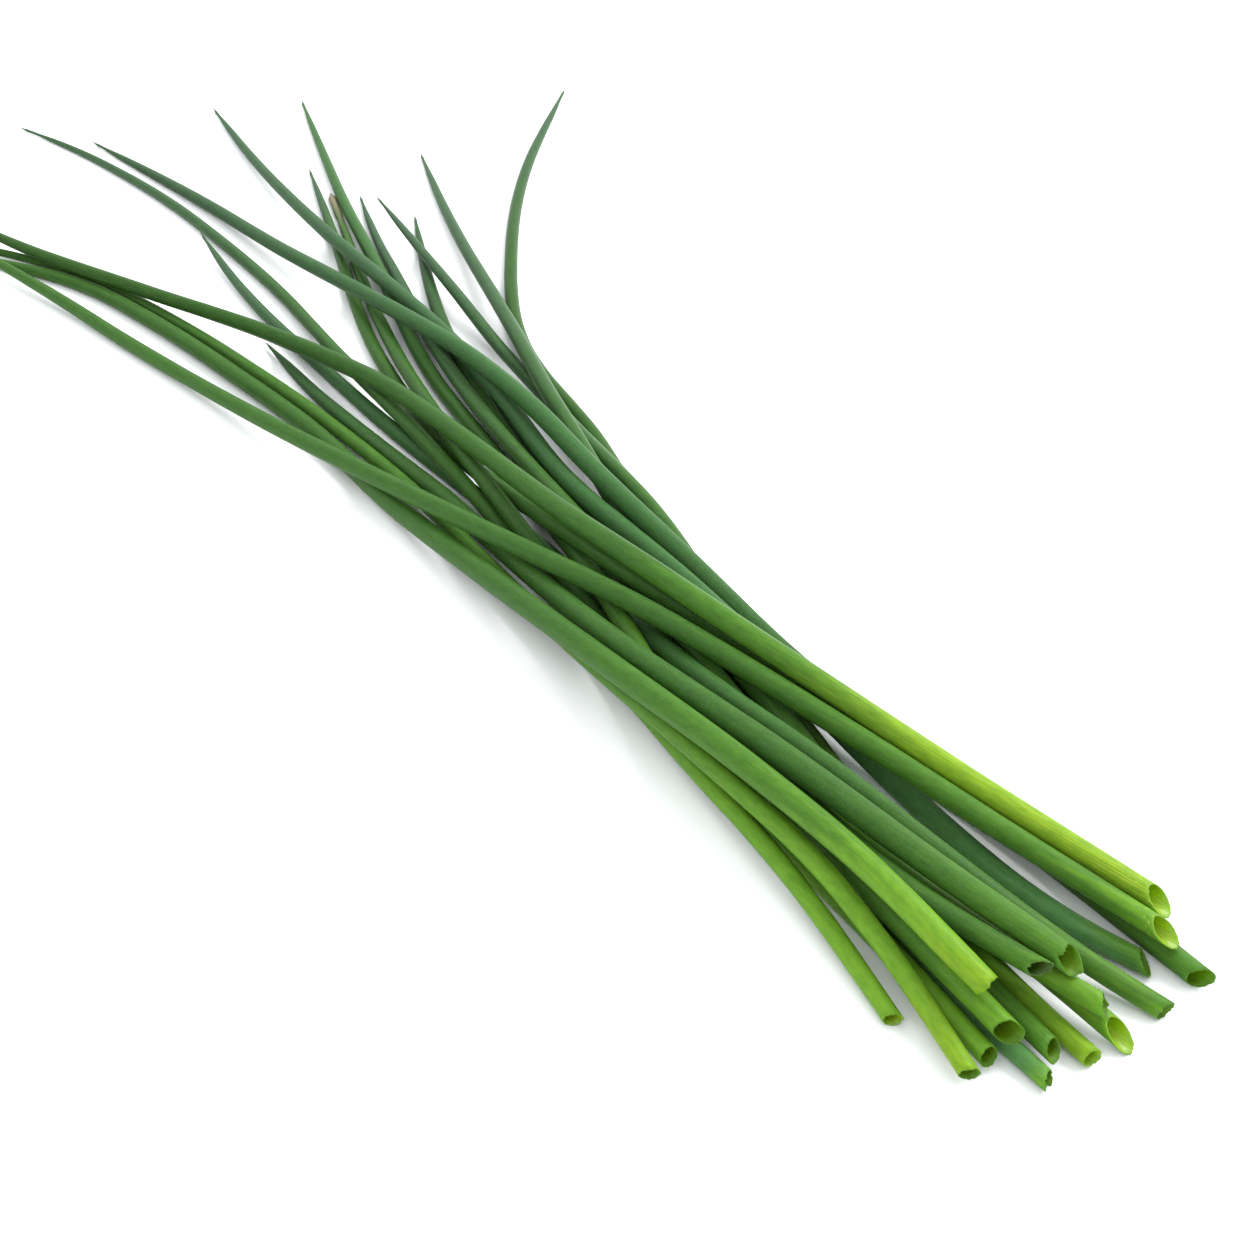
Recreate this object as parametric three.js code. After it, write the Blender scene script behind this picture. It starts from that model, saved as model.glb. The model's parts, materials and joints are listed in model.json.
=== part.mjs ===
import * as THREE from 'three';
import { mergeVertices } from 'three/addons/utils/BufferGeometryUtils.js';

// A loose bunch of cut chive leaves lying crossed on a table. Millimetres, +Z up.
// The leaves run along X, with their cut ends at +X and their tips at -X. Each leaf is one hollow
// tapering tube, closed at its tip and open where it was cut.

// Driving dimensions

const sides = 8; // flat faces around a leaf
const stretch = 10; // length of one straight stretch of a leaf
const wall = 0.62; // thickness of a leaf's wall at the cut end
const boreShare = 0.66; // share of the length that is hollow
const tipGirth = 0.7; // thickness just behind the pointed tip
const clearance = 0.3; // gap between leaves that lie on each other
const slimming = 0.4; // share by which a leaf is thinner where its point begins
const pointStart = 14; // the higher, the shorter the point of a leaf
const pointShape = 0.7; // the higher, the finer the point
const cutPinch = 0.1; // share by which the girth is less at the cut end
const pinchLength = 0.25; // share of the length over which it fills out again

// The eye for which the routes below are given. A route is where the leaf is seen on the table from
// there, and a stretch that lies higher in the pile is moved up its line of sight.
const eye = new THREE.Vector3(297, -228, 256);

// The pile is settled in small sweeps, in which every station of every leaf moves a little
const sweeps = 1700;
const quietSweeps = 300; // the last ones, in which nothing falls any more
const looseSweeps = 50; // the very last, in which nothing is drawn to its line of sight either
const fall = 0.07; // fall of a station in one sweep
const springiness = 0.4; // share of an uneven bend that is taken out in one sweep
const holdInSight = 0.3; // share by which a station goes back to its line of sight in one sweep
const holdUnseen = 0.012; // the same for a stretch that is hidden in the pile
const pairRange = 4; // how much further than touching a neighbour is looked for
const sweepsPerPairing = 25;
const stackRoom = 1.5; // how many times their own room the leaves have before they settle
const parallel = 0.001; // below this two stretches count as parallel

// The leaves, from the lowest in the pile to the one on top. Girth is the largest thickness, slant the
// angle of the cut from square, and facing the way the opening looks, in degrees from +Y up and over.
// The route runs from the cut end to the tip. Unseen gives the stretches along X that are hidden in the
// pile and free to shift, and a leaf that rises lies as high as the leaf with that number past an X.
const leaves = [
  {
    name: 'leaf_01_far_curl', tint: 'green', girth: 3.4, slant: 35, facing: 50,
    unseen: [[125, -8]],
    route: [[150, -32.5], [126, -28.5], [105.5, -24], [81.5, -17], [54, -8], [22, 3.5], [1.5, 11],
      [-14, 15.5], [-27.5, 21], [-38, 27.5], [-50.5, 37], [-64.5, 49], [-78, 63], [-98, 88.5]],
  },
  {
    name: 'leaf_02_hidden_tip', tint: 'blueGreen', girth: 3.1, slant: 15, facing: 0,
    unseen: [[128, -60]],
    route: [[153, -36.5], [136, -35], [113, -31], [92, -26.5], [66, -19], [40, -12], [14, -5],
      [-10, 1], [-36, 7.5]],
  },
  {
    name: 'leaf_03_blunt_tip', tint: 'green', girth: 3.9, slant: 39, facing: 150,
    unseen: [[122, -28]],
    route: [[144, -34.5], [120, -30.5], [100.5, -27], [79.5, -23], [54.5, -16.5], [39, -11.5],
      [16, -4], [-10, 3], [-35, 11.5], [-49, 18], [-63.5, 26], [-76, 33.5]],
  },
  {
    name: 'leaf_04_far_short', tint: 'lime', girth: 3.3, slant: 8, facing: 180,
    unseen: [[132, -8]],
    route: [[154, -29], [137, -28], [110, -24.5], [87, -18], [60, -11], [29, -0.8], [12.5, 4.5],
      [-12, 13], [-28, 17], [-45.5, 21.5], [-64, 26], [-86.5, 32]],
  },
  {
    name: 'leaf_05_far_straight', tint: 'lime', girth: 3.6, slant: 58, facing: 90,
    unseen: [[146, 2]],
    route: [[154, -24.6], [139, -25.2], [120, -25.5], [99.5, -21], [76, -11.5], [48, -3], [16, 7],
      [0, 11.5], [-14, 15.5], [-26, 20], [-44, 27], [-63, 34.5], [-78, 41], [-95, 49]],
  },
  {
    name: 'leaf_10_long_green', tint: 'green', girth: 3.5, slant: 38, facing: 40,
    unseen: [[132, 15]],
    route: [[149, -21.5], [137.5, -22.5], [118, -23], [100, -21.3], [72, -16], [44.5, -9], [15, -4],
      [-15, 2], [-39.5, 9.5], [-59.5, 17], [-74.5, 23], [-89, 30]],
  },
  {
    name: 'leaf_06_hidden_cut', tint: 'green', girth: 3.3, slant: 20, facing: 90,
    unseen: [[12, -20]], rises: { past: 5, to: 17 },
    route: [[127, -6], [104, -5], [76, -6.5], [54, -7.8], [37, -9.9], [18, -11], [-4, -10.5],
      [-19.5, -7.5], [-41.5, -0.5], [-57.5, 6.5], [-76, 15.5], [-104, 28.5]],
  },
  {
    name: 'leaf_07_near_dark', tint: 'blueGreen', girth: 3.5, slant: 18, facing: 190,
    unseen: [[45, 20]],
    route: [[155, -16.3], [141, -17.6], [119, -18.3], [90.5, -17.6], [62.5, -18.2], [28.5, -15.5],
      [7, -14.5], [-17.5, -13], [-42, -11], [-62.5, -9], [-79.5, -6], [-96.5, -1.5]],
  },
  {
    name: 'leaf_08_outer_lime', tint: 'lime', girth: 3.0, slant: 22, facing: 190,
    unseen: [[84, -15]],
    route: [[133, -44.5], [109.5, -37.5], [85.5, -30], [62.5, -22.5], [36, -16.5], [11.5, -14],
      [-13.5, -11.5], [-41, -7.5], [-68.5, -2.5], [-91.5, -0.5], [-113, 0], [-138.5, -2.5],
      [-155.5, -6.5]],
  },
  {
    name: 'leaf_09_dry_tip', tint: 'green', girth: 3.4, slant: 35, facing: 195,
    unseen: [[108, 10]],
    route: [[138.5, -23], [119, -25], [97.5, -24.5], [65, -21.5], [43.5, -19.5], [25, -16.5],
      [2, -10.5], [-15, -6], [-34.5, 0], [-56, 8.5], [-73, 16.5], [-93, 26]],
  },
  {
    name: 'leaf_11_near_long', tint: 'lime', girth: 3.4, slant: 15, facing: 60,
    unseen: [[132, -8]],
    route: [[145.5, -40], [118.5, -32.5], [96, -26.5], [72.5, -20.5], [47.5, -15], [20.5, -9],
      [-5, -3.5], [-30, 3], [-59, 14.5], [-87.5, 25.5], [-108, 34.5], [-129, 44]],
  },
  {
    name: 'leaf_12_blue_long', tint: 'blueGreen', girth: 3.7, slant: 38, facing: 50,
    unseen: [[95, 40]],
    route: [[147, -11.5], [132, -13.8], [99, -12.2], [63.5, -8.5], [33.5, -3], [9, 0.5],
      [-15, 7], [-31.5, 10.5], [-56, 14], [-84, 17], [-111, 21.5], [-137.5, 28]],
  },
  {
    name: 'leaf_13_blue_wide', tint: 'blueGreen', girth: 3.8, slant: 35, facing: 175,
    unseen: [[130, 45]],
    route: [[153.5, -7.8], [124, -7.5], [96, -7], [69, -5.5], [40.5, -0.5], [14.5, 4.5], [-7, 9],
      [-20, 10.5], [-32, 11], [-54, 9.5], [-82, 6.5], [-107, 5], [-141, 1.5]],
  },
  {
    name: 'leaf_14_near_curve', tint: 'lime', girth: 3.1, slant: 22, facing: 190,
    unseen: [[52, 8]],
    route: [[146, -43.5], [125, -36.5], [104.5, -31.5], [78, -29], [52, -27], [23.5, -23.5],
      [1.5, -21], [-24, -20.5], [-48, -21], [-71, -22.5], [-97.5, -27], [-119, -36.5],
      [-129, -41]],
  },
  {
    name: 'leaf_15_middle_wide', tint: 'blueGreen', girth: 4.2, slant: 34, facing: 85,
    unseen: [[30, 10]],
    route: [[140.5, -18.7], [113.5, -20], [81, -20.5], [45.5, -21.5], [20, -20], [5, -18.5],
      [-16, -18], [-35.5, -17], [-56.5, -14]],
  },
  {
    name: 'leaf_16_bright_wide', tint: 'lime', girth: 4.1, slant: 36, facing: 300,
    unseen: [],
    route: [[136.5, -30.5], [109.5, -26.5], [82, -25.2], [55.5, -25.5], [27, -26], [1, -26],
      [-28.5, -23.5], [-49, -24], [-73, -25.5], [-94.5, -29], [-115, -38.5], [-125, -43]],
  },
  {
    name: 'leaf_17_upper_green', tint: 'green', girth: 3.6, slant: 55, facing: 95,
    unseen: [],
    route: [[145, -5], [116.5, -7], [82, -9], [49.5, -12.5], [17, -18.5], [-8.5, -23.5],
      [-36.5, -28.5], [-68, -32.5], [-92, -34.5], [-134, -39.3]],
  },
  {
    name: 'leaf_18_top_lime', tint: 'lime', girth: 3.8, slant: 52, facing: 85,
    unseen: [],
    route: [[140.5, -1.2], [112.5, -3.2], [77, -4.5], [41, -5.7], [17, -6.4], [-4, -6], [-32, -6.5],
      [-60, -12.5], [-85.5, -21.5], [-113.5, -30.5], [-139, -35]],
  },
];

// Materials

const finishes = {
  green: { color: 0x4a8237, roughness: 0.42, metalness: 0 },
  blueGreen: { color: 0x4b7d55, roughness: 0.5, metalness: 0 },
  lime: { color: 0x7fab2c, roughness: 0.38, metalness: 0 },
};

// The form of one leaf

// Thickness of a leaf at a share of its length from the cut end
function girthAt(leaf, share) {
  const pinched = Math.max(0, 1 - share / pinchLength);
  const tapered = (1 - slimming * share ** 2) * (1 - share ** pointStart) ** pointShape;
  return Math.max(tipGirth, leaf.girth * tapered * (1 - cutPinch * pinched ** 2));
}

// Half the distance between opposite flat faces of a leaf, for its half thickness at the edges
const flatHalf = Math.cos(Math.PI / sides);

// Laying the pile

// Where a point that is seen on the table comes to when it lies at a height on the same line of sight
function liftedTo(seen, height) {
  return seen.clone().lerp(eye, height / eye.z);
}

// The least height at which a station is in front of all those before it in the pile
function heightInFront({ seen, radius }, before) {
  const sight = eye.clone().sub(seen).normalize();
  let least = radius * flatHalf;
  for (const station of before) {
    const toStation = station.centre.clone().sub(seen);
    const nearest = toStation.dot(sight);
    const reach = radius + station.radius + clearance;
    const room = (reach * stackRoom) ** 2 - (toStation.lengthSq() - nearest ** 2);
    if (room > 0) {
      least = Math.max(least, (nearest + Math.sqrt(room)) * sight.z);
    }
  }
  return least;
}

// A leaf's stations from the cut end to the tip, each with its order in the pile
function stationsAlong(leaf, order) {
  const route = new THREE.CatmullRomCurve3(leaf.route.map(([x, y]) => new THREE.Vector3(x, y, 0)));
  const count = Math.round(route.getLength() / stretch);
  return Array.from({ length: count + 1 }, (_, at) => {
    const share = at / count;
    const seen = route.getPointAt(share);
    const unseen = leaf.unseen.some(([from, to]) => seen.x < from && seen.x > to);
    const risen = leaf.rises && seen.x > leaf.rises.past;
    return {
      seen,
      radius: girthAt(leaf, share) / 2,
      order: risen ? leaf.rises.to : order,
      hold: unseen ? holdUnseen : holdInSight,
    };
  });
}

// Places every station in front of those that come before it in the pile, on its line of sight
function stack(pile) {
  const before = [];
  const inOrder = pile.flat().sort((first, second) => first.order - second.order);
  for (const station of inOrder) {
    const others = before.filter(({ order }) => order < station.order);
    station.centre = liftedTo(station.seen, heightInFront(station, others));
    before.push(station);
  }
}

// Evens out how a leaf departs from its seen route, so that it bends as a springy rod does
function springBack(stations) {
  const departures = stations.map(({ centre, seen }) => centre.clone().sub(seen));
  for (let at = 1; at < stations.length - 1; at += 1) {
    const bend = departures[at - 1].clone().add(departures[at + 1]);
    bend.multiplyScalar(0.5).sub(departures[at]).multiplyScalar(springiness / 2);
    stations[at].centre.add(bend);
    stations[at - 1].centre.addScaledVector(bend, -0.5);
    stations[at + 1].centre.addScaledVector(bend, -0.5);
  }
}

// Draws a station back towards its line of sight
function drawToSight(station) {
  const sight = eye.clone().sub(station.seen).normalize();
  const departure = station.centre.clone().sub(station.seen);
  departure.addScaledVector(sight, -departure.dot(sight));
  station.centre.addScaledVector(departure, -station.hold);
}

// The shares along two stretches at which they are nearest to each other
function nearestShares(startA, alongA, startB, alongB) {
  const between = startA.clone().sub(startB);
  const lengthA = alongA.lengthSq();
  const lengthB = alongB.lengthSq();
  const cross = alongA.dot(alongB);
  const offA = alongA.dot(between);
  const offB = alongB.dot(between);
  const spread = lengthA * lengthB - cross ** 2;
  const clamp = (value) => Math.min(1, Math.max(0, value));
  let shareA = spread > parallel ? clamp((cross * offB - offA * lengthB) / spread) : 0.5;
  const shareB = clamp((cross * shareA + offB) / lengthB);
  shareA = clamp((cross * shareB - offA) / lengthA);
  return [shareA, shareB];
}

// The pairs of stretches of different leaves that are near enough to meet soon
function nearPairs(pile) {
  const stretches = pile.flatMap((stations, leaf) => (
    stations.slice(1).map((end, at) => ({ leaf, start: stations[at], end }))
  ));
  const middles = stretches.map(({ start, end }) => start.centre.clone().lerp(end.centre, 0.5));
  const pairs = [];
  stretches.forEach((first, index) => {
    for (let other = index + 1; other < stretches.length; other += 1) {
      const second = stretches[other];
      const range = stretch + first.start.radius + second.start.radius + pairRange;
      if (first.leaf !== second.leaf && middles[index].distanceTo(middles[other]) < range) {
        pairs.push([first, second]);
      }
    }
  });
  return pairs;
}

// Parts two stretches that are nearer to each other than their thickness and the clearance
function partStretches([first, second]) {
  const alongA = first.end.centre.clone().sub(first.start.centre);
  const alongB = second.end.centre.clone().sub(second.start.centre);
  const [shareA, shareB] = nearestShares(first.start.centre, alongA, second.start.centre, alongB);
  const apart = first.start.centre.clone().addScaledVector(alongA, shareA);
  apart.sub(second.start.centre).addScaledVector(alongB, -shareB);
  const radiusA = THREE.MathUtils.lerp(first.start.radius, first.end.radius, shareA);
  const radiusB = THREE.MathUtils.lerp(second.start.radius, second.end.radius, shareB);
  const distance = apart.length();
  const short = radiusA + radiusB + clearance - distance;
  if (short > 0) {
    apart.multiplyScalar(short / distance / 2);
    first.start.centre.addScaledVector(apart, 1 - shareA);
    first.end.centre.addScaledVector(apart, shareA);
    second.start.centre.addScaledVector(apart, shareB - 1);
    second.end.centre.addScaledVector(apart, -shareB);
  }
}

// Lets the pile sink until every leaf rests on the table or on others
function settle(pile) {
  let pairs = [];
  for (let sweep = 0; sweep < sweeps; sweep += 1) {
    if (sweep % sweepsPerPairing === 0) {
      pairs = nearPairs(pile);
    }
    const falling = sweep < sweeps - quietSweeps;
    const held = sweep < sweeps - looseSweeps;
    for (const stations of pile) {
      springBack(stations);
      for (const station of stations) {
        if (falling) {
          station.centre.z -= fall;
        }
        if (held) {
          drawToSight(station);
        }
      }
    }
    pairs.forEach(partStretches);
    for (const station of pile.flat()) {
      station.centre.z = Math.max(station.centre.z, station.radius * flatHalf);
    }
  }
}

// Making the solids

// The half section of a straight leaf standing on its cut end: out of the bore, over the rim and up
// the outside to the tip. The second number of each point counts stations.
function halfSection(stations) {
  const last = stations.length - 1;
  const boreEnd = Math.floor(last * boreShare);
  const section = [new THREE.Vector2(0, boreEnd)];
  for (let at = boreEnd - 1; at >= 0; at -= 1) {
    section.push(new THREE.Vector2(stations[at].radius - wall, at));
  }
  for (let at = 0; at < last; at += 1) {
    section.push(new THREE.Vector2(stations[at].radius, at));
  }
  section.push(new THREE.Vector2(0, last));
  return section;
}

// The direction of the axis at a station
function directionAt(stations, at) {
  const before = stations[Math.max(0, at - 1)].centre;
  const after = stations[Math.min(stations.length - 1, at + 1)].centre;
  return after.clone().sub(before).normalize();
}

// Bends the straight leaf along its stations and slants its cut end
function makeLeaf(leaf, stations) {
  const turned = new THREE.LatheGeometry(halfSection(stations), sides, Math.PI / sides);
  turned.deleteAttribute('normal');
  turned.deleteAttribute('uv');
  const geometry = mergeVertices(turned);
  const place = geometry.attributes.position;
  const up = new THREE.Vector3(0, 0, 1);
  const cutRate = Math.tan(THREE.MathUtils.degToRad(leaf.slant));
  const facing = THREE.MathUtils.degToRad(leaf.facing);
  for (let vertex = 0; vertex < place.count; vertex += 1) {
    const at = Math.round(place.getY(vertex));
    const direction = directionAt(stations, at);
    const side = direction.clone().cross(up).normalize();
    const over = side.clone().cross(direction);
    const point = stations[at].centre.clone();
    point.addScaledVector(side, place.getX(vertex));
    point.addScaledVector(over, place.getZ(vertex));
    if (at === 0) {
      const across = place.getX(vertex) * Math.cos(facing) + place.getZ(vertex) * Math.sin(facing);
      point.addScaledVector(direction, across * cutRate);
    }
    place.setXYZ(vertex, point.x, point.y, Math.max(point.z, 0)); // pressed flat on the table
  }
  geometry.computeVertexNormals();
  const mesh = new THREE.Mesh(geometry, new THREE.MeshStandardMaterial(finishes[leaf.tint]));
  mesh.name = leaf.name;
  return mesh;
}

// The bunch, with its origin under the middle of its box, on the table

const bunch = new THREE.Group();
const pile = leaves.map((leaf, at) => stationsAlong(leaf, at + 1));
stack(pile);
settle(pile);
leaves.forEach((leaf, at) => bunch.add(makeLeaf(leaf, pile[at])));
const box = new THREE.Box3().setFromObject(bunch);
const middle = box.getCenter(new THREE.Vector3());
bunch.position.set(-middle.x, -middle.y, -box.min.z);

export default bunch;
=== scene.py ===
import json
import math
import random

import bmesh
import bpy
from mathutils import Matrix, Vector, noise


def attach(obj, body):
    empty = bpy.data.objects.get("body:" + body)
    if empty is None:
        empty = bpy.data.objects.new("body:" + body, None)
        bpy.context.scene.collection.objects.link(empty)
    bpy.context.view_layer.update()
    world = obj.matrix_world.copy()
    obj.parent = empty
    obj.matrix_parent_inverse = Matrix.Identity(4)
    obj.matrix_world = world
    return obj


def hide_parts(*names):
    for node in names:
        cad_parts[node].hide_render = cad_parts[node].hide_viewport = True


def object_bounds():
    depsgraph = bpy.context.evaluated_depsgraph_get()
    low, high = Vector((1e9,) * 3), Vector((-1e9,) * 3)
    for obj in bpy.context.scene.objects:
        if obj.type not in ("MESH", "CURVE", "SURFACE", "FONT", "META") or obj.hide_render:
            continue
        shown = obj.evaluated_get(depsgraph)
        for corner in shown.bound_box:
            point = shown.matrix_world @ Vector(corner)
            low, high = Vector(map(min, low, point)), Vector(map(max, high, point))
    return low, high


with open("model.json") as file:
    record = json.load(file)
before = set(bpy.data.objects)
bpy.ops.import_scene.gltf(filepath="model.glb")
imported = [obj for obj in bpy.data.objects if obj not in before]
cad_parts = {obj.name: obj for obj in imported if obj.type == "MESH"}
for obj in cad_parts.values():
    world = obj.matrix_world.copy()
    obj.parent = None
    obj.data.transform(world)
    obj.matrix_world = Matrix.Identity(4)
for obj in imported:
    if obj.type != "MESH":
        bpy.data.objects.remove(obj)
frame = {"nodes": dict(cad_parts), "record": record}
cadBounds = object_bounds()
print("frame loaded:", len(frame["nodes"]), "leaves")

# the bunch lies on z = 0 with its cut ends at +X and its tips at -X, everything is in metres
mm = 0.001


# camera

cameraLook = {
    "place": (0.29591, -0.24870, 0.256),
    "turn": (52, 0, 50),            # degrees, looks down along the bunch from its cut ends
    "lens": 78.26,                  # mm
    "sensor": 36,                   # mm
    "nearest": 0.01,                # nothing closer than this shows
}

cameraData = bpy.data.cameras.new("camera")
cameraData.lens = cameraLook["lens"]
cameraData.sensor_width = cameraLook["sensor"]
cameraData.clip_start = cameraLook["nearest"]
camera = bpy.data.objects.new("camera", cameraData)
camera.location = cameraLook["place"]
camera.rotation_euler = [math.radians(angle) for angle in cameraLook["turn"]]
bpy.context.scene.collection.objects.link(camera)
bpy.context.scene.camera = camera
print("camera placed")


# the small helpers that every material uses

noiseForm = {
    "roughness": 0.55,
    "shift": (7.3, 3.1, 11.9),      # each step of the seed moves the noise this far on its axes
}


def newMaterial(name):
    material = bpy.data.materials.new(name)
    material.use_nodes = True
    nodes = material.node_tree.nodes
    links = material.node_tree.links
    return material, nodes, links, nodes["Principled BSDF"]


def attributeNode(nodes, name):
    node = nodes.new("ShaderNodeAttribute")
    node.attribute_name = name
    return node


def stretchedNoise(nodes, links, vector, grain, seed):
    # a noise that is stretched along the leaf: its repeats per millimetre on each axis, then its detail
    scales, detail = grain
    mapping = nodes.new("ShaderNodeMapping")
    mapping.inputs["Scale"].default_value = scales
    mapping.inputs["Location"].default_value = [seed * shift for shift in noiseForm["shift"]]
    links.new(vector, mapping.inputs["Vector"])
    texture = nodes.new("ShaderNodeTexNoise")
    texture.inputs["Scale"].default_value = 1
    texture.inputs["Detail"].default_value = detail
    texture.inputs["Roughness"].default_value = noiseForm["roughness"]
    links.new(mapping.outputs["Vector"], texture.inputs["Vector"])
    return texture.outputs["Fac"]


def spread(nodes, links, value, low, high, toLow=0.0, toHigh=1.0):
    node = nodes.new("ShaderNodeMapRange")
    node.inputs["From Min"].default_value = low
    node.inputs["From Max"].default_value = high
    node.inputs["To Min"].default_value = toLow
    node.inputs["To Max"].default_value = toHigh
    links.new(value, node.inputs["Value"])
    return node.outputs["Result"]


def joined(nodes, links, operation, first, second):
    node = nodes.new("ShaderNodeMath")
    node.operation = operation
    links.new(first, node.inputs[0])
    links.new(second, node.inputs[1])
    return node.outputs[0]


def mixed(nodes, links, share, first, second, blend="MIX"):
    node = nodes.new("ShaderNodeMix")
    node.data_type = "RGBA"
    node.blend_type = blend
    for value, socket in ((share, node.inputs[0]), (first, node.inputs[6]), (second, node.inputs[7])):
        if isinstance(value, bpy.types.NodeSocket):
            links.new(value, socket)
        elif isinstance(value, float):
            socket.default_value = value
        else:
            socket.default_value = (*value, 1)
    return node.outputs[2]


def softFinish(nodes, links, shader, height, finish):
    # light that sinks in a little way, and a fine bump
    shader.inputs["Specular IOR Level"].default_value = finish["gloss"]
    shader.inputs["Subsurface Weight"].default_value = finish["glow"]
    shader.inputs["Subsurface Radius"].default_value = finish["glowSpread"]
    shader.inputs["Subsurface Scale"].default_value = finish["glowDepth"]
    bump = nodes.new("ShaderNodeBump")
    bump.inputs["Strength"].default_value = finish["bump"]
    bump.inputs["Distance"].default_value = finish["bumpHeight"]
    links.new(height, bump.inputs["Height"])
    links.new(bump.outputs["Normal"], shader.inputs["Normal"])


# the colours of a leaf, from its cut base to its tip; their blue is raised a little, a painted pale sheen
# over the leaf's own greens

leafColours = {
    "limeBase": (0.142, 0.260, 0.010),
    "leafLime": (0.110, 0.244, 0.014),
    "freshGreen": (0.086, 0.206, 0.012),
    "brightGreen": (0.048, 0.134, 0.012),
    "midGreen": (0.031, 0.092, 0.013),
    "deepGreen": (0.020, 0.065, 0.008),
    "blueGreen": (0.030, 0.094, 0.024),
    "darkBlue": (0.020, 0.060, 0.018),
    "seaGreen": (0.055, 0.158, 0.045),
    "paleTip": (0.033, 0.074, 0.036),
    "dryTip": (0.190, 0.170, 0.110),
}


# repeats per millimetre across, across and along the leaf, then the detail
skinGrain = {
    "patches": ((0.5, 0.5, 0.05), 3),
    "veins": ((3.4, 3.4, 0.03), 3),
    "blotches": ((1.3, 1.3, 0.42), 5),
    "specks": ((5, 5, 3.4), 4),
    "threads": ((4.5, 4.5, 0.07), 2),
    "paintedGlints": ((2.6, 2.6, 1.1), 2),
}

# the values of each noise between which its share goes from none to all
skinRange = {
    "patches": (0.3, 0.7),
    "veins": (0.35, 0.68),
    "blotches": (0.3, 0.7),
    "specks": (0.46, 0.76),
    "threads": (0.5, 0.7),
    "paintedGlints": (0.64, 0.72),
}

skinLook = {
    "wander": 0.04,                 # share of the length that the colours wander to and fro
    "veinTints": ((0.94, 0.95, 0.94), (1.05, 1.04, 1.03)),
    "blotchTints": ((0.80, 0.85, 0.82), (1.18, 1.12, 1.10)),
    "threadColour": (0.27, 0.36, 0.03),
    "threadReach": (0.02, 0.3),     # shares of the length between which the threads fade out
    "waxColour": (0.12, 0.19, 0.09),
    # a pale colour painted in small spots beside a wet cut, as painted glints
    "paintedGlintColour": (0.40, 0.48, 0.14),
    "paintedGlintReach": (0.008, 0.026),   # shares of the length between which the painted glints fade out
    "bareSkin": {"wax": 0.20, "rough": (0.33, 0.46)},
    "waxySkin": {"wax": 0.30, "rough": (0.40, 0.56)},
    "refraction": 1.42,
    "finish": {
        "gloss": 0.11,
        "glow": 0.12,
        "glowSpread": (0.5, 1.0, 0.2),
        "glowDepth": 1.2 * mm,
        "bump": 0.2,
        "bumpHeight": 0.05 * mm,
    },
}


def leafSkin(name, look, seed, waxy):
    # stops are (share of the length from the cut end, colour name) and blend into each other
    material, nodes, links, shader = newMaterial(name)
    along = attributeNode(nodes, "along").outputs["Fac"]
    straight = attributeNode(nodes, "straightPlace").outputs["Vector"]
    wax = skinLook["waxySkin" if waxy else "bareSkin"]

    patches = stretchedNoise(nodes, links, straight, skinGrain["patches"], seed)
    wander = spread(nodes, links, patches, *skinRange["patches"], -skinLook["wander"], skinLook["wander"])
    ramp = nodes.new("ShaderNodeValToRGB")
    ramp.color_ramp.interpolation = "EASE"
    while len(ramp.color_ramp.elements) < len(look["stops"]):
        ramp.color_ramp.elements.new(0.5)
    for element, (share, colour) in zip(ramp.color_ramp.elements, look["stops"]):
        element.position = share
        element.color = (*leafColours[colour], 1)
    links.new(joined(nodes, links, "ADD", along, wander), ramp.inputs["Fac"])
    colour = ramp.outputs["Color"]

    # fine veins run the whole length, and pale threads show at the base
    veins = stretchedNoise(nodes, links, straight, skinGrain["veins"], seed + 1)
    veinShare = spread(nodes, links, veins, *skinRange["veins"])
    streaked = mixed(nodes, links, veinShare, *skinLook["veinTints"])
    colour = mixed(nodes, links, 1.0, colour, streaked, "MULTIPLY")
    threads = stretchedNoise(nodes, links, straight, skinGrain["threads"], seed + 4)
    threadShare = spread(nodes, links, threads, *skinRange["threads"])
    baseShare = spread(nodes, links, along, *skinLook["threadReach"], look["threads"], 0.0)
    paleShare = joined(nodes, links, "MULTIPLY", threadShare, baseShare)
    colour = mixed(nodes, links, paleShare, colour, skinLook["threadColour"])

    # the skin is mottled in soft cloudy patches
    blotches = stretchedNoise(nodes, links, straight, skinGrain["blotches"], seed + 2)
    blotchShare = spread(nodes, links, blotches, *skinRange["blotches"])
    blotched = mixed(nodes, links, blotchShare, *skinLook["blotchTints"])
    colour = mixed(nodes, links, 1.0, colour, blotched, "MULTIPLY")

    # the pale wax bloom lies in small specks
    specks = stretchedNoise(nodes, links, straight, skinGrain["specks"], seed + 3)
    speckShare = spread(nodes, links, specks, *skinRange["specks"], 0, wax["wax"])
    colour = mixed(nodes, links, speckShare, colour, skinLook["waxColour"])

    # painted glints: pale spots of colour beside a wet cut stand in for the light it reflects
    paintedGlints = stretchedNoise(nodes, links, straight, skinGrain["paintedGlints"], seed + 5)
    paintedGlintShare = spread(nodes, links, paintedGlints, *skinRange["paintedGlints"])
    nearCut = spread(nodes, links, along, *skinLook["paintedGlintReach"], look["wet"], 0.0)
    paintedGlintMask = joined(nodes, links, "MULTIPLY", paintedGlintShare, nearCut)
    colour = mixed(nodes, links, paintedGlintMask, colour, skinLook["paintedGlintColour"])
    links.new(colour, shader.inputs["Base Color"])

    rough = spread(nodes, links, blotches, *skinRange["blotches"], *wax["rough"])
    links.new(rough, shader.inputs["Roughness"])
    shader.inputs["IOR"].default_value = skinLook["refraction"]
    softFinish(nodes, links, shader, specks, skinLook["finish"])
    return material


# the wet wall and lining of a cut leaf

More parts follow.
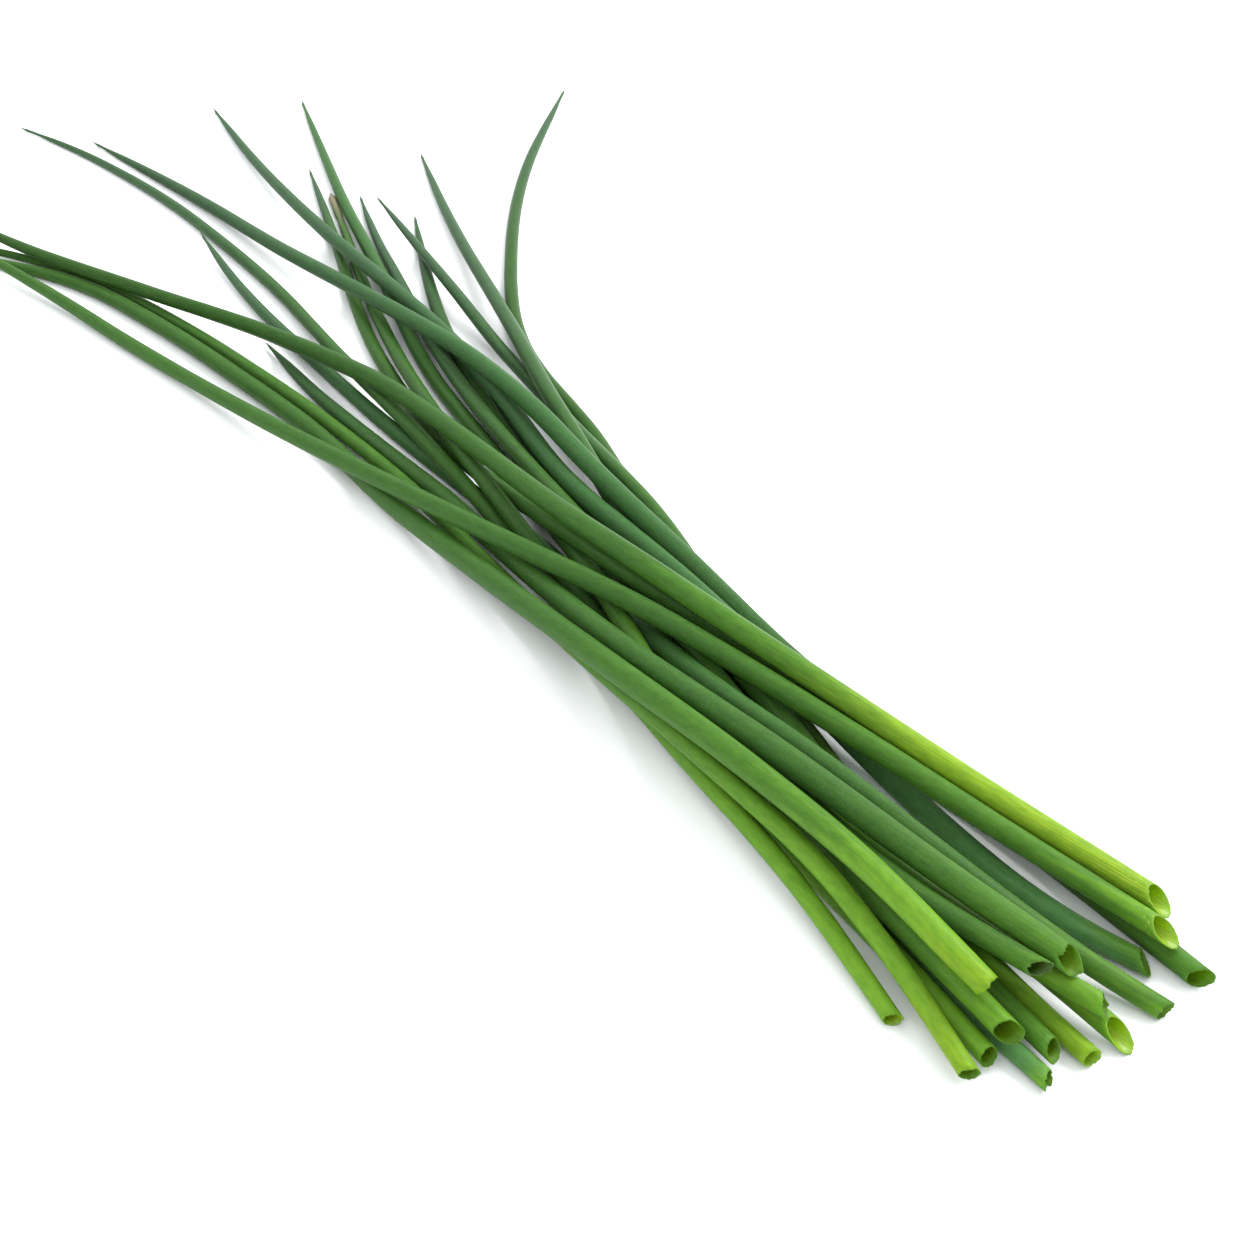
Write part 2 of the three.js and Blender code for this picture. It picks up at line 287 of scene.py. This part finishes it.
fleshForm = {
    "grain": ((3, 3, 0.6), 3),
    "range": (0.3, 0.7),
    "seed": 5,
    "tints": ((0.78, 0.82, 0.78), (1.2, 1.16, 1.1)),
}
fleshFinish = {
    "glow": 0.15,
    "glowSpread": (0.6, 1.0, 0.2),
    "glowDepth": 1 * mm,
    "bump": 0.3,
    "bumpHeight": 0.1 * mm,
}
fleshLooks = {
    "greenFlesh": {
        "wall": (0.046, 0.122, 0.008),
        "lining": (0.078, 0.150, 0.004),
        "rough": 0.45,
        "gloss": 0.15,
    },
    "paleFlesh": {
        "wall": (0.125, 0.240, 0.014),
        "lining": (0.210, 0.330, 0.008),
        "rough": 0.3,
        "gloss": 0.25,
    },
    "raggedFlesh": {
        "wall": (0.066, 0.112, 0.034),
        "lining": (0.026, 0.056, 0.002),
        "rough": 0.5,
        "gloss": 0.15,
    },
}


def cutFlesh(name, flesh):
    material, nodes, links, shader = newMaterial(name)
    straight = attributeNode(nodes, "straightPlace").outputs["Vector"]
    depth = attributeNode(nodes, "depth").outputs["Fac"]
    grain = stretchedNoise(nodes, links, straight, fleshForm["grain"], fleshForm["seed"])
    grainShare = spread(nodes, links, grain, *fleshForm["range"])
    grained = mixed(nodes, links, grainShare, *fleshForm["tints"])
    colour = mixed(nodes, links, depth, flesh["wall"], flesh["lining"])
    colour = mixed(nodes, links, 1.0, colour, grained, "MULTIPLY")
    links.new(colour, shader.inputs["Base Color"])
    shader.inputs["Roughness"].default_value = flesh["rough"]
    softFinish(nodes, links, shader, grain, {**fleshFinish, "gloss": flesh["gloss"]})
    return material


fleshes = {name: cutFlesh(name, flesh) for name, flesh in fleshLooks.items()}
print("flesh materials made")


# reading where a leaf lies, from the rings of vertices of its eight-sided CAD node

nodeForm = {
    "sides": 8,
    "mergeReach": 0.002 * mm,
    "rimReach": 2 * mm,         # past the rim the rings turn back inside, with their middles this close
}


def ringsOf(node):
    # the rings' middles and radii from the cut end to the tip, and the lean of the cut:
    # how far it reaches along the leaf for each step across it
    copy = bmesh.new()
    copy.from_mesh(node.data)
    bmesh.ops.remove_doubles(copy, verts=copy.verts, dist=nodeForm["mergeReach"])
    copy.verts.index_update()
    poles = [vert for vert in copy.verts if len(vert.link_edges) == nodeForm["sides"]]
    tip = min(poles, key=lambda vert: vert.co.x)
    rings = [[tip]]
    seen = {tip}
    while True:
        following = {edge.other_vert(vert) for vert in rings[-1] for edge in vert.link_edges} - seen
        if not following:
            break
        rings.append(sorted(following, key=lambda vert: vert.index))
        seen |= following
    centres = [sum((vert.co for vert in ring), Vector()) / len(ring) for ring in rings]
    last = next(at for at in range(2, len(rings) - 1)
                if (centres[at + 1] - centres[at]).length < nodeForm["rimReach"])
    radii = [sum((vert.co - centre).length for vert in ring) / len(ring)
             for ring, centre in zip(rings, centres)]
    rim = [vert.co - centres[last] for vert in rings[last]]
    direction = (centres[last - 1] - centres[last - 2]).normalized()
    lean = Vector()
    for arm in rim:
        across = arm - direction * arm.dot(direction)
        lean += across * arm.dot(direction) * 2 / (len(rim) * across.length_squared)
    # the rim's own radius is across the leaf, without the slant
    radii[last] = sum((arm - direction * arm.dot(direction)).length for arm in rim) / len(rim)
    copy.free()
    return centres[last::-1], radii[last::-1], lean


def smoothAt(points, place):
    # a point on the smooth line through evenly spaced points
    at = min(int(place), len(points) - 2)
    share = place - at
    before = points[max(at - 1, 0)]
    start = points[at]
    end = points[at + 1]
    after = points[min(at + 2, len(points) - 1)]
    slope = (end - before) * share
    bend = (2 * before - 5 * start + 4 * end - after) * share ** 2
    change = (3 * (start - end) + after - before) * share ** 3
    return 0.5 * (2 * start + slope + bend + change)


# the leaf form shared by all

leafForm = {
    "segments": 40,
    "ringStep": 1.6 * mm,
    "girthShare": 0.965,        # a round leaf beside the eight-sided solid
    "leastRadius": 0.28 * mm,   # at the tip
    "aimReach": 0.004,          # share of the length each way that a ring takes its direction from
    "flatness": 0.95,
    "flatnessChange": 0.04,
    "flatnessRepeat": 0.03,     # per millimetre of the leaf
    "swell": 0.025,
    "swellRepeat": 0.06,        # per millimetre of the leaf
    "turns": 0.5,               # the flattened section turns this far from the cut to the tip
    "dryFrom": 0.93,            # share of the length where a blunt tip starts to dry
    "dryReach": 0.03,
    "wall": 0.15 * mm,
    "wallShade": 0.25,          # how much of the lining's colour the cut wall has
    "boreDepth": 26 * mm,
    "boreRings": 14,
    "cutReach": 7 * mm,         # over this length the slanted cut fades into square rings
    "cutAim": 0.01,             # share of the length that gives the cut its direction
    "tearRepeat": 1.1,
    "fineTear": 0.35,           # beside the main tear
    "fineTearRepeat": 4.2,
    "teeth": 0.2 * mm,          # the height of the small teeth that a dull blade leaves on the rim
    "teethRepeat": 8,
    "boxGap": 0.01 * mm,        # the leaf stays this far inside the box of the whole bunch
}


def ringMatrix(centre, direction, radius, flatness, twist):
    side = direction.cross(Vector((0, 0, 1))).normalized()
    over = side.cross(direction)
    turn = Matrix((side, over, direction)).transposed().to_4x4()
    return (Matrix.Translation(centre) @ turn @ Matrix.Rotation(twist, 4, "Z")
            @ Matrix.Diagonal((radius, radius * flatness, radius, 1)))


def roundNoise(angle, repeat, place):
    # a noise that runs round the leaf and meets itself
    return noise.noise(Vector((math.cos(angle) * repeat, math.sin(angle) * repeat, place)))


def slideCut(bm, around, look, lean, start, direction, seed):
    # each vertex near the end slides along the leaf, by the slant and by the ragged edge
    form = leafForm
    for vert in bm.verts:
        behind = (vert.co - start).dot(direction)
        fade = max(0, 1 - max(behind, 0) / form["cutReach"])
        if fade:
            across = vert.co - start - direction * behind
            angle = math.tau * vert[around] / form["segments"]
            torn = roundNoise(angle, form["tearRepeat"], seed)
            torn += form["fineTear"] * roundNoise(angle, form["fineTearRepeat"], seed)
            tooth = form["teeth"] * roundNoise(angle, form["teethRepeat"], seed + 3)
            slide = (look["ragged"] * mm * torn + tooth) * fade - across.dot(lean)
            vert.co += direction * slide * fade


def keepInBox(bm):
    gap = leafForm["boxGap"]
    for vert in bm.verts:
        for axis in range(3):
            low = cadBounds[0][axis] + gap
            high = cadBounds[1][axis] - gap
            vert.co[axis] = min(max(vert.co[axis], low), high)


def makeLeaf(node, look):
    form = leafForm
    centres, radii, lean = ringsOf(node)
    length = sum((b - a).length for a, b in zip(centres, centres[1:]))
    steps = round(length / form["ringStep"])
    draw = random.Random(node.name)
    seed = draw.uniform(0, 50)
    bm = bmesh.new()
    around = bm.verts.layers.int.new("around")
    along = bm.verts.layers.float.new("along")
    depth = bm.verts.layers.float.new("depth")
    straight = bm.verts.layers.float_vector.new("straightPlace")

    def place(share):
        return smoothAt(centres, share * (len(centres) - 1))

    def radiusAt(share):
        return smoothAt(radii, share * (len(radii) - 1))

    def shaped(share):
        ahead = place(min(share + form["aimReach"], 1))
        behind = place(max(share - form["aimReach"], 0))
        distance = share * length / mm
        swell = noise.noise(Vector((distance * form["swellRepeat"], seed, 0)))
        wave = noise.noise(Vector((distance * form["flatnessRepeat"], seed, 9)))
        flatness = form["flatness"] + form["flatnessChange"] * wave
        radius = radiusAt(share) * form["girthShare"] * (1 + form["swell"] * swell)
        drying = min(max((share - form["dryFrom"]) / form["dryReach"], 0), 1)
        radius = max(radius, form["leastRadius"], look["bluntTip"] * mm * drying)
        twist = form["turns"] * math.tau * share
        return ringMatrix(place(share), (ahead - behind).normalized(), radius, flatness, twist)

    def mark(verts, share, radius, deep):
        # where a vertex would be on the straight, round leaf, in millimetres, for the materials
        for vert in verts:
            vert[along] = share
            vert[depth] = deep
            angle = math.tau * vert[around] / form["segments"]
            vert[straight] = (
                math.cos(angle) * radius / mm,
                math.sin(angle) * radius / mm,
                share * length / mm,
            )

    def extrudeRing(edges, change, share, radius, deep):
        grown = bmesh.ops.extrude_edge_only(bm, edges=edges)["geom"]
        verts = [part for part in grown if isinstance(part, bmesh.types.BMVert)]
        bmesh.ops.transform(bm, matrix=change, verts=verts)
        mark(verts, share, radius, deep)
        for face in (part for part in grown if isinstance(part, bmesh.types.BMFace)):
            face.material_index = 1 if deep else 0
        return verts, [part for part in grown if isinstance(part, bmesh.types.BMEdge)]

    # the outside grows ring by ring from the cut end and closes in the tip
    first = bmesh.ops.create_circle(bm, segments=form["segments"], radius=1)["verts"]
    for index, vert in enumerate(first):
        vert[around] = index
    rimEdges = list(bm.edges)
    rim = shaped(0)
    bmesh.ops.transform(bm, matrix=rim, verts=first)
    girth = radii[0] * form["girthShare"]
    mark(first, 0, girth, 0)
    verts, edges, current = first, rimEdges, rim
    for step in range(1, steps):
        share = step / steps
        following = shaped(share)
        verts, edges = extrudeRing(edges, following @ current.inverted(), share, radiusAt(share), 0)
        current = following
    bmesh.ops.pointmerge(bm, verts=verts, merge_co=centres[-1])

    # the lining starts on the rim, a wall's thickness inside, and closes in the dark
    inward = 1 - form["wall"] / girth
    edges, current = rimEdges, rim
    for step in range(form["boreRings"] + 1):
        share = step / form["boreRings"] * form["boreDepth"] / length
        following = shaped(share) @ Matrix.Diagonal((inward, inward, 1, 1))
        deep = 1 if step else form["wallShade"]
        verts, edges = extrudeRing(edges, following @ current.inverted(), share, girth * inward, deep)
        current = following
    bmesh.ops.pointmerge(bm, verts=verts, merge_co=place(form["boreDepth"] / length))

    direction = (place(form["cutAim"]) - place(0)).normalized()
    slideCut(bm, around, look, lean, place(0), direction, seed)
    keepInBox(bm)
    bmesh.ops.recalc_face_normals(bm, faces=bm.faces)
    for face in bm.faces:
        face.smooth = True
    mesh = bpy.data.meshes.new(node.name + "_skin")
    bm.to_mesh(mesh)
    bm.free()
    leaf = bpy.data.objects.new(node.name + "_skin", mesh)
    bpy.context.scene.collection.objects.link(leaf)
    return leaf


# the leaves, each with its own colours from the cut end to the tip

leafLooks = {
    "leaf_01_far_curl": {
        "stops": [(0, "brightGreen"), (0.2, "midGreen"), (0.7, "deepGreen"), (1, "paleTip")],
    },
    "leaf_02_hidden_tip": {
        "stops": [(0, "freshGreen"), (0.03, "seaGreen"), (0.25, "blueGreen"), (0.7, "deepGreen"),
                  (1, "paleTip")],
        "ragged": 1.1,
    },
    "leaf_03_blunt_tip": {
        "stops": [(0, "freshGreen"), (0.02, "freshGreen"), (0.07, "brightGreen"), (0.4, "midGreen"),
                  (1, "darkBlue")],
        "ragged": 0.45,
    },
    "leaf_04_far_short": {
        "stops": [(0, "limeBase"), (0.08, "freshGreen"), (0.4, "midGreen"), (1, "paleTip")],
        "flesh": "paleFlesh",
    },
    "leaf_05_far_straight": {
        "stops": [(0, "freshGreen"), (0.1, "brightGreen"), (0.4, "midGreen"), (1, "paleTip")],
        "flesh": "paleFlesh",
    },
    "leaf_06_hidden_cut": {
        "stops": [(0, "brightGreen"), (0.3, "midGreen"), (0.8, "midGreen"), (1, "paleTip")],
    },
    "leaf_07_near_dark": {
        "stops": [(0, "freshGreen"), (0.03, "brightGreen"), (0.12, "midGreen"), (0.6, "blueGreen"),
                  (1, "paleTip")],
    },
    "leaf_08_outer_lime": {
        "stops": [(0, "leafLime"), (0.12, "freshGreen"), (0.45, "midGreen"), (1, "paleTip")],
        "flesh": "paleFlesh",
    },
    "leaf_09_dry_tip": {
        "stops": [(0, "brightGreen"), (0.05, "midGreen"), (0.3, "deepGreen"), (0.92, "midGreen"),
                  (0.99, "dryTip")],
        "ragged": 1.1,
        "bluntTip": 0.75,
        "flesh": "raggedFlesh",
    },
    "leaf_10_long_green": {
        "stops": [(0, "freshGreen"), (0.1, "brightGreen"), (0.5, "midGreen"), (1, "paleTip")],
        "ragged": 0.55,
    },
    "leaf_11_near_long": {
        "stops": [(0, "freshGreen"), (0.15, "freshGreen"), (0.45, "midGreen"), (1, "blueGreen")],
    },
    "leaf_12_blue_long": {
        "stops": [(0, "brightGreen"), (0.04, "seaGreen"), (0.2, "seaGreen"), (0.36, "blueGreen"),
                  (1, "paleTip")],
    },
    "leaf_13_blue_wide": {
        # the deep green stretch past the cut is painted shade, where this leaf lies under leaves 17 and
        # 18
        "stops": [(0, "brightGreen"), (0.06, "midGreen"), (0.15, "deepGreen"), (0.5, "blueGreen"),
                  (1, "paleTip")],
    },
    "leaf_14_near_curve": {
        "stops": [(0, "limeBase"), (0.06, "leafLime"), (0.35, "brightGreen"), (1, "midGreen")],
        "ragged": 0.3,
    },
    "leaf_15_middle_wide": {
        "stops": [(0, "brightGreen"), (0.2, "midGreen"), (0.6, "midGreen"), (1, "darkBlue")],
        "ragged": 1.0,
    },
    "leaf_16_bright_wide": {
        "stops": [(0, "limeBase"), (0.04, "leafLime"), (0.17, "brightGreen"), (0.42, "midGreen")],
        "ragged": 0.4,
    },
    "leaf_17_upper_green": {
        "stops": [(0, "freshGreen"), (0.06, "brightGreen"), (0.4, "midGreen"), (1, "midGreen")],
        "flesh": "paleFlesh",
        "wet": 0.7,
    },
    "leaf_18_top_lime": {
        "stops": [(0, "limeBase"), (0.12, "limeBase"), (0.28, "brightGreen"), (0.42, "midGreen"),
                  (0.75, "deepGreen")],
        "flesh": "paleFlesh",
        "threads": 0.9,
        "wet": 0.9,
    },
}

# what a leaf has where its own look says nothing
plainLook = {
    "ragged": 0.15,             # how deep the cut is torn, mm
    "bluntTip": 0.0,            # radius of a dried tip, mm
    "threads": 0.1,             # how strongly the pale threads show
    "wet": 0.0,                 # how strongly the painted glints show beside the cut
    "flesh": "greenFlesh",
}

slotOf = {part["node"]: part["material_slot"] for part in frame["record"]["subparts"]}
for index, (nodeName, node) in enumerate(sorted(frame["nodes"].items())):
    look = {**plainLook, **leafLooks[nodeName]}
    slot = slotOf[nodeName]
    leaf = makeLeaf(node, look)
    leaf.data.materials.append(leafSkin(nodeName + "_skin", look, index * 4, slot == "leaf_blue_green"))
    leaf.data.materials.append(fleshes[look["flesh"]])
    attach(leaf, "root")
    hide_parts(nodeName)
print("leaves made")


# floor and light

studio = {
    "floor": (0.88, 0.885, 0.89),
    "floorRough": 0.9,
    "floorSize": 3,
    "sky": (0.97, 0.985, 1),
    "skyStrength": 1.66,
    "keyPower": 8,
    "keySize": 0.5,
    "keyPlace": (0.10, 0.50, 0.60),
}

floorBm = bmesh.new()
bmesh.ops.create_grid(floorBm, x_segments=1, y_segments=1, size=studio["floorSize"])
floorMesh = bpy.data.meshes.new("floor")
floorBm.to_mesh(floorMesh)
floorBm.free()
floor = bpy.data.objects.new("floor", floorMesh)
bpy.context.scene.collection.objects.link(floor)
floorPaint, _, _, floorShader = newMaterial("floorPaint")
floorShader.inputs["Base Color"].default_value = (*studio["floor"], 1)
floorShader.inputs["Roughness"].default_value = studio["floorRough"]
floor.data.materials.append(floorPaint)

world = bpy.data.worlds.new("studio")
bpy.context.scene.world = world
world.use_nodes = True
sky = world.node_tree.nodes["Background"]
sky.inputs["Color"].default_value = (*studio["sky"], 1)
sky.inputs["Strength"].default_value = studio["skyStrength"]

keyData = bpy.data.lights.new("key", "AREA")
keyData.energy = studio["keyPower"]
keyData.size = studio["keySize"]
key = bpy.data.objects.new("key", keyData)
key.location = studio["keyPlace"]
key.rotation_euler = (-key.location).to_track_quat("-Z", "Y").to_euler()
bpy.context.scene.collection.objects.link(key)
bpy.context.scene.view_settings.view_transform = "Standard"
print("floor and light set")
